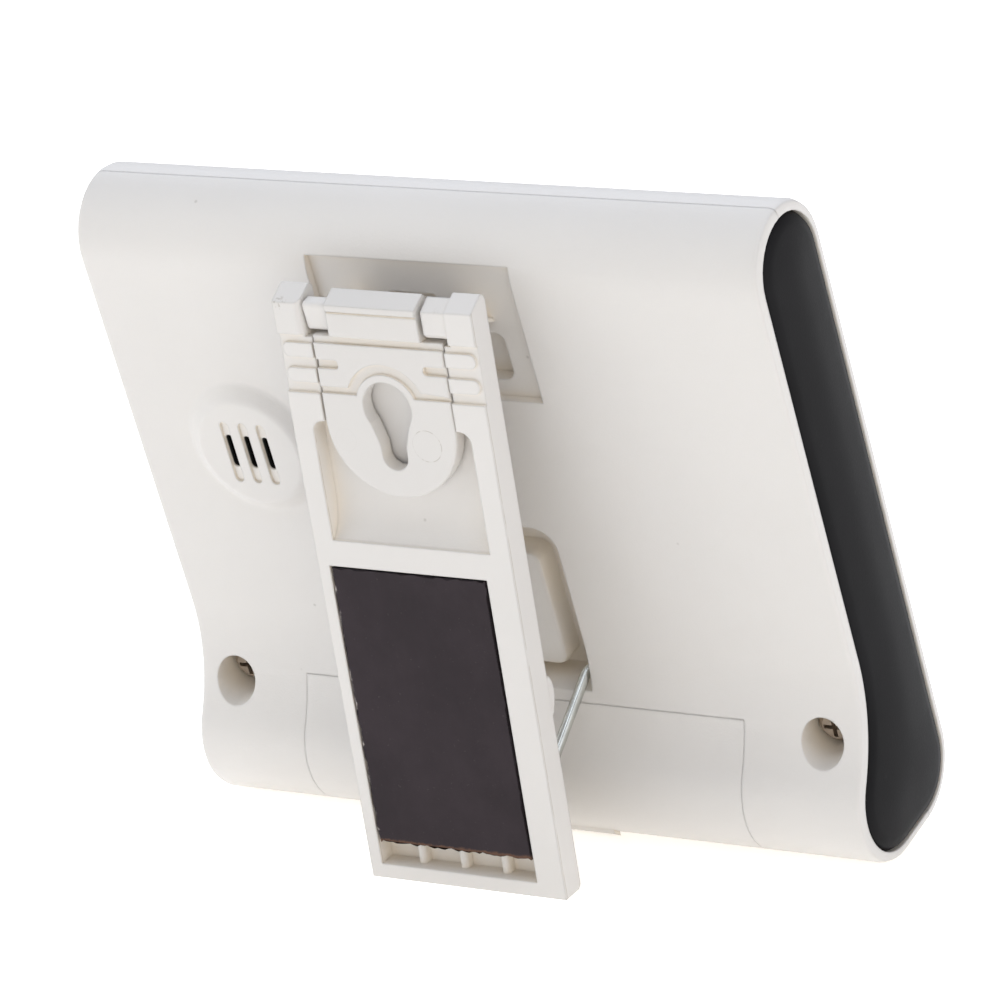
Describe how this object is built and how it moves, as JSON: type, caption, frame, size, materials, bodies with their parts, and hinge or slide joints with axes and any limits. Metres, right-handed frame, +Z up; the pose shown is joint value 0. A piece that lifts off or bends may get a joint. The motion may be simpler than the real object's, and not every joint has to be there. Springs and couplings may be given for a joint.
{
  "type": "digital kitchen timer",
  "caption": "Slim countdown timer leaning on a fold-out rear stand with a flip-up keyhole tab and a magnet, display and push buttons in front, rubber ends.",
  "frame": {"origin": "on the floor under the middle of the timer as it stands on its open stand", "axes": "+X to the right as the display is read, +Y to the back where the stand is, +Z up"},
  "size_m": [0.0878, 0.038, 0.0779],
  "materials": {
    "shell": "satin",
    "grip": "matte",
    "magnet": "matte",
    "wire": "polished",
    "steel": "satin",
    "window": "gloss",
    "display": "satin",
    "board": "satin",
    "silicone": "matte",
    "carbon_rubber": "matte",
    "brass": "satin",
    "cell": "gloss",
    "button": "satin"
  },
  "bodies": {
    "case": {"front_shell": "shell", "rear_shell": "shell", "grip_left": "grip", "grip_right": "grip", "display_window": "window", "display_panel": "display", "display_frame": "shell", "zebra_strip": "carbon_rubber", "circuit_board": "board", "controller_chip": "carbon_rubber", "keypad_mat": "silicone", "buzzer_disc": "brass", "battery_cell": "cell", "contact_plate": "steel", "contact_spring": "steel", "case_screw_1": "steel", "case_screw_2": "steel", "board_screw_1": "steel", "board_screw_2": "steel", "board_screw_3": "steel", "board_screw_4": "steel"},
    "stand": {"stand_leaf": "shell", "magnet_sheet": "magnet"},
    "hanging_tab": {"hang_tab": "shell"},
    "wire": {"wire_bail": "wire"},
    "door": {"battery_door": "shell"},
    "minute_button_body": {"minute_button": "button"},
    "second_button_body": {"second_button": "button"},
    "start_stop_button_body": {"start_stop_button": "button"}
  },
  "joints": [
    {"name": "stand_fold", "type": "hinge", "parent": "case", "child": "stand", "pos_m": [0, 0.01668, 0.06738], "axis": [1, 0, 0], "range_deg": [-8.4, 0]},
    {"name": "hang_tab_flip", "type": "hinge", "parent": "stand", "child": "hanging_tab", "pos_m": [0, 0.01668, 0.06738], "axis": [1, 0, 0], "range_deg": [0, 165]},
    {"name": "wire_swing", "type": "hinge", "parent": "stand", "child": "wire", "pos_m": [0, 0.01046, 0.01056], "axis": [1, 0, 0], "range_deg": [-33.3, 0]},
    {"name": "battery_door_open", "type": "hinge", "parent": "case", "child": "door", "pos_m": [0, -0.00064, 0.01688], "axis": [1, 0, 0], "range_deg": [0, 30]},
    {"name": "minute_button_press", "type": "slide", "parent": "case", "child": "minute_button_body", "axis": [0, 0.9697, -0.2443], "range_m": [0, 0.0006], "stiffness_N_per_m": 300, "springref_m": -0.001},
    {"name": "second_button_press", "type": "slide", "parent": "case", "child": "second_button_body", "axis": [0, 0.9697, -0.2443], "range_m": [0, 0.0006], "stiffness_N_per_m": 300, "springref_m": -0.001},
    {"name": "start_stop_button_press", "type": "slide", "parent": "case", "child": "start_stop_button_body", "axis": [0, 0.9697, -0.2443], "range_m": [0, 0.0006], "stiffness_N_per_m": 300, "springref_m": -0.001}
  ],
  "couplings": [
    {"joint": "wire_swing", "follows": "stand_fold", "ratio": 3.955}
  ]
}
